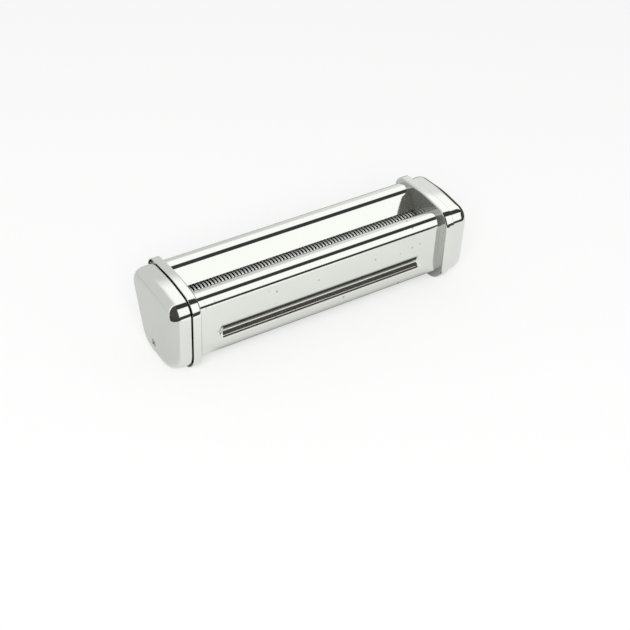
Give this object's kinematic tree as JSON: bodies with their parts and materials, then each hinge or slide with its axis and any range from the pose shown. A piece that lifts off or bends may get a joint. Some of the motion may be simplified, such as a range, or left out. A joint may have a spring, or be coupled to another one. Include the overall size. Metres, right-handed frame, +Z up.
{
  "type": "pasta cutter roller head",
  "caption": "Hand pasta cutter head with paired grooved rollers in a chromed sheet body, domed end caps, combs, gears, a crank socket and rear hooks.",
  "frame": {"origin": "bottom centre of the head, on the surface it stands on", "axes": "+X along the rollers towards the crank end, -Y out of the front panel, +Z up out of the hopper"},
  "size_m": [0.1824, 0.0487, 0.048],
  "materials": {
    "chrome_plate": "bright chrome plate",
    "panel_steel": "bright rolled sheet, slightly soft",
    "roller_steel": "machined steel",
    "bush_brass": "turned, dull",
    "zinc_steel": "zinc plated"
  },
  "bodies": {
    "head": {"left_end_cap": "chrome_plate", "right_end_cap": "chrome_plate", "left_side_frame": "chrome_plate", "right_side_frame": "chrome_plate", "front_panel": "panel_steel", "rear_panel": "panel_steel", "front_comb": "roller_steel", "rear_comb": "roller_steel", "drive_bush_left": "bush_brass", "drive_bush_right": "bush_brass", "driven_bush_left": "bush_brass", "driven_bush_right": "bush_brass", "upper_front_tie_rod": "zinc_steel", "upper_rear_tie_rod": "zinc_steel", "lower_front_tie_rod": "zinc_steel", "lower_rear_tie_rod": "zinc_steel", "upper_front_nut_left": "zinc_steel", "upper_front_nut_right": "zinc_steel", "upper_rear_nut_left": "zinc_steel", "upper_rear_nut_right": "zinc_steel", "lower_front_nut_left": "zinc_steel", "lower_front_nut_right": "zinc_steel", "lower_rear_nut_left": "zinc_steel", "lower_rear_nut_right": "zinc_steel", "left_cap_screw": "zinc_steel", "right_cap_screw": "zinc_steel", "rear_hook_left": "zinc_steel", "rear_hook_right": "zinc_steel", "hook_rivet_1": "zinc_steel", "hook_rivet_2": "zinc_steel", "hook_rivet_3": "zinc_steel", "hook_rivet_4": "zinc_steel"},
    "drive": {"drive_roller": "roller_steel", "drive_gear": "zinc_steel", "drive_ring_left": "zinc_steel", "crank_coupling": "zinc_steel"},
    "driven": {"driven_roller": "roller_steel", "driven_gear": "zinc_steel", "driven_ring_left": "zinc_steel", "driven_ring_right": "zinc_steel"}
  },
  "joints": [
    {"name": "drive_spin", "type": "hinge", "parent": "head", "child": "drive", "pos_m": [0, -0.009, 0.0252], "axis": [1, 0, 0], "continuous": true},
    {"name": "driven_spin", "type": "hinge", "parent": "head", "child": "driven", "pos_m": [0, 0.005, 0.0252], "axis": [1, 0, 0], "continuous": true}
  ],
  "couplings": [
    {"joint": "driven_spin", "follows": "drive_spin", "ratio": -1}
  ]
}
